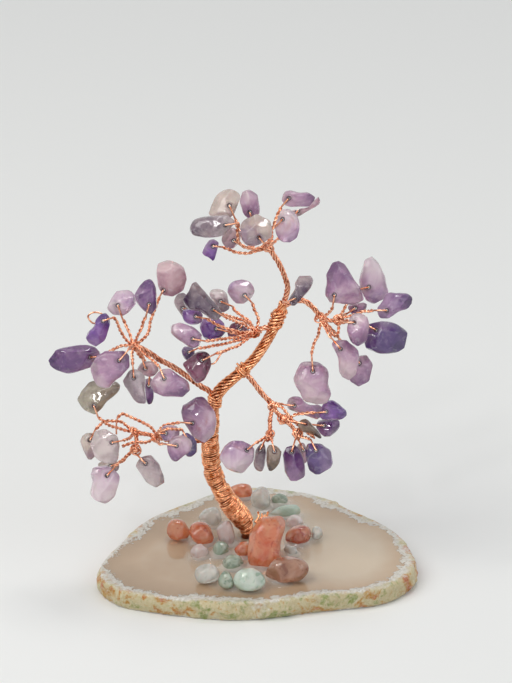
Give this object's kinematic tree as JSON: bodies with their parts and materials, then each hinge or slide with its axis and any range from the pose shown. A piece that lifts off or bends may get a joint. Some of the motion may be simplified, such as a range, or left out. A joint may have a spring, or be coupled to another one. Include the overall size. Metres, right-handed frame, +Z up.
{
  "type": "gemstone tree ornament",
  "caption": "Copper-wire bonsai tree with drilled amethyst chips on twisted stems, glued with tumbled stones on an agate slice.",
  "frame": {"origin": "centre of the slice's flat underside", "axes": "+Z up out of the slice, -Y to the front, +Y the shortest extent"},
  "size_m": [0.1097, 0.0744, 0.1221],
  "materials": {
    "agate": "polished face, natural rind",
    "clear_glue": "glossy",
    "carnelian": "tumbled, wet gloss",
    "aventurine": "tumbled, wet gloss",
    "rose_quartz": "tumbled, wet gloss",
    "clear_quartz": "tumbled, wet gloss",
    "copper_wire": "bright drawn copper",
    "amethyst": "tumbled, polished"
  },
  "bodies": {
    "base": {"agate_slice": "agate", "glue_bed": "clear_glue", "base_chips_carnelian": "carnelian", "base_chips_aventurine": "aventurine", "base_chips_rose_quartz": "rose_quartz", "base_chips_clear_quartz": "clear_quartz", "trunk_core": "copper_wire", "trunk_binding": "copper_wire"},
    "top_branch": {"wire_top": "copper_wire", "top_chip_1": "amethyst", "top_chip_2": "amethyst", "top_chip_3": "amethyst", "top_chip_4": "amethyst", "top_small_chips": "amethyst", "top_chip_5": "amethyst", "top_chip_6": "amethyst", "trunk_chip": "amethyst"},
    "right_branch": {"wire_right": "copper_wire", "right_chip_1": "amethyst", "right_chip_2": "amethyst", "right_chip_3": "amethyst", "right_small_chips": "amethyst", "right_chip_4": "amethyst", "right_chip_5": "amethyst", "right_chip_6": "amethyst"},
    "lower_right_branch": {"wire_lower_right": "copper_wire", "lower_right_chip_1": "amethyst", "lower_right_chip_2": "amethyst", "lower_right_chip_3": "amethyst", "lower_right_small_chips": "amethyst", "lower_right_chip_4": "amethyst", "lower_right_chip_6": "amethyst"},
    "middle_left_branch": {"wire_middle_left": "copper_wire", "middle_left_chip_1": "amethyst", "middle_left_small_chips": "amethyst", "middle_left_chip_2": "amethyst", "middle_left_chip_3": "amethyst", "middle_left_chip_4": "amethyst", "middle_left_chip_5": "amethyst"},
    "upper_left_branch": {"wire_upper_left": "copper_wire", "upper_left_chip_1": "amethyst", "upper_left_chip_2": "amethyst", "upper_left_chip_3": "amethyst", "upper_left_chip_4": "amethyst", "upper_left_chip_5": "amethyst", "upper_left_chip_6": "amethyst", "upper_left_small_chips": "amethyst", "upper_left_chip_7": "amethyst"},
    "lower_left_branch": {"wire_lower_left": "copper_wire", "lower_left_chip_1": "amethyst", "lower_left_chip_2": "amethyst", "lower_left_small_chips": "amethyst", "lower_left_chip_3": "amethyst", "lower_left_chip_4": "amethyst", "lower_left_chip_5": "amethyst"},
    "right_swinging_chip": {"right_hanging_chip": "amethyst"},
    "lower_right_swinging_chip_5": {"lower_right_chip_5": "amethyst"},
    "middle_left_swinging_chip_6": {"middle_left_chip_6": "amethyst"},
    "lower_left_swinging_chip_6": {"lower_left_chip_6": "amethyst"}
  },
  "joints": [
    {"name": "top_bend", "type": "hinge", "parent": "base", "child": "top_branch", "pos_m": [0.00781, 0.00026, 0.08677], "axis": [0, -0.891, 0.454], "range_deg": [-5, 5]},
    {"name": "right_bend", "type": "hinge", "parent": "base", "child": "right_branch", "pos_m": [0.00957, 0.00026, 0.08594], "axis": [0, -0.891, 0.454], "range_deg": [-5, 5]},
    {"name": "lower_right_bend", "type": "hinge", "parent": "base", "child": "lower_right_branch", "pos_m": [-0.00303, 0.00106, 0.06156], "axis": [0, -0.891, 0.454], "range_deg": [-5, 5]},
    {"name": "middle_left_bend", "type": "hinge", "parent": "base", "child": "middle_left_branch", "pos_m": [0.00119, 0.00046, 0.0774], "axis": [0, -0.891, 0.454], "range_deg": [-5, 5]},
    {"name": "upper_left_bend", "type": "hinge", "parent": "base", "child": "upper_left_branch", "pos_m": [-0.0147, 0.00186, 0.05622], "axis": [0, -0.891, 0.454], "range_deg": [-5, 5]},
    {"name": "lower_left_bend", "type": "hinge", "parent": "base", "child": "lower_left_branch", "pos_m": [-0.01723, 0.00266, 0.03932], "axis": [0, -0.891, 0.454], "range_deg": [-5, 5]},
    {"name": "right_swinging_chip_swing", "type": "hinge", "parent": "right_branch", "child": "right_swinging_chip", "pos_m": [0.01604, -0.00588, 0.0665], "axis": [0, -0.891, 0.454], "range_deg": [-12, 12]},
    {"name": "lower_right_swinging_chip_5_swing", "type": "hinge", "parent": "lower_right_branch", "child": "lower_right_swinging_chip_5", "pos_m": [0.0098, -0.00498, 0.03938], "axis": [0, -0.891, 0.454], "range_deg": [-12, 12]},
    {"name": "middle_left_swinging_chip_6_swing", "type": "hinge", "parent": "middle_left_branch", "child": "middle_left_swinging_chip_6", "pos_m": [-0.01633, -0.00428, 0.06935], "axis": [0, -0.891, 0.454], "range_deg": [-12, 12]},
    {"name": "lower_left_swinging_chip_6_swing", "type": "hinge", "parent": "lower_left_branch", "child": "lower_left_swinging_chip_6", "pos_m": [-0.03297, -0.01022, 0.03838], "axis": [0, -0.891, 0.454], "range_deg": [-12, 12]}
  ]
}
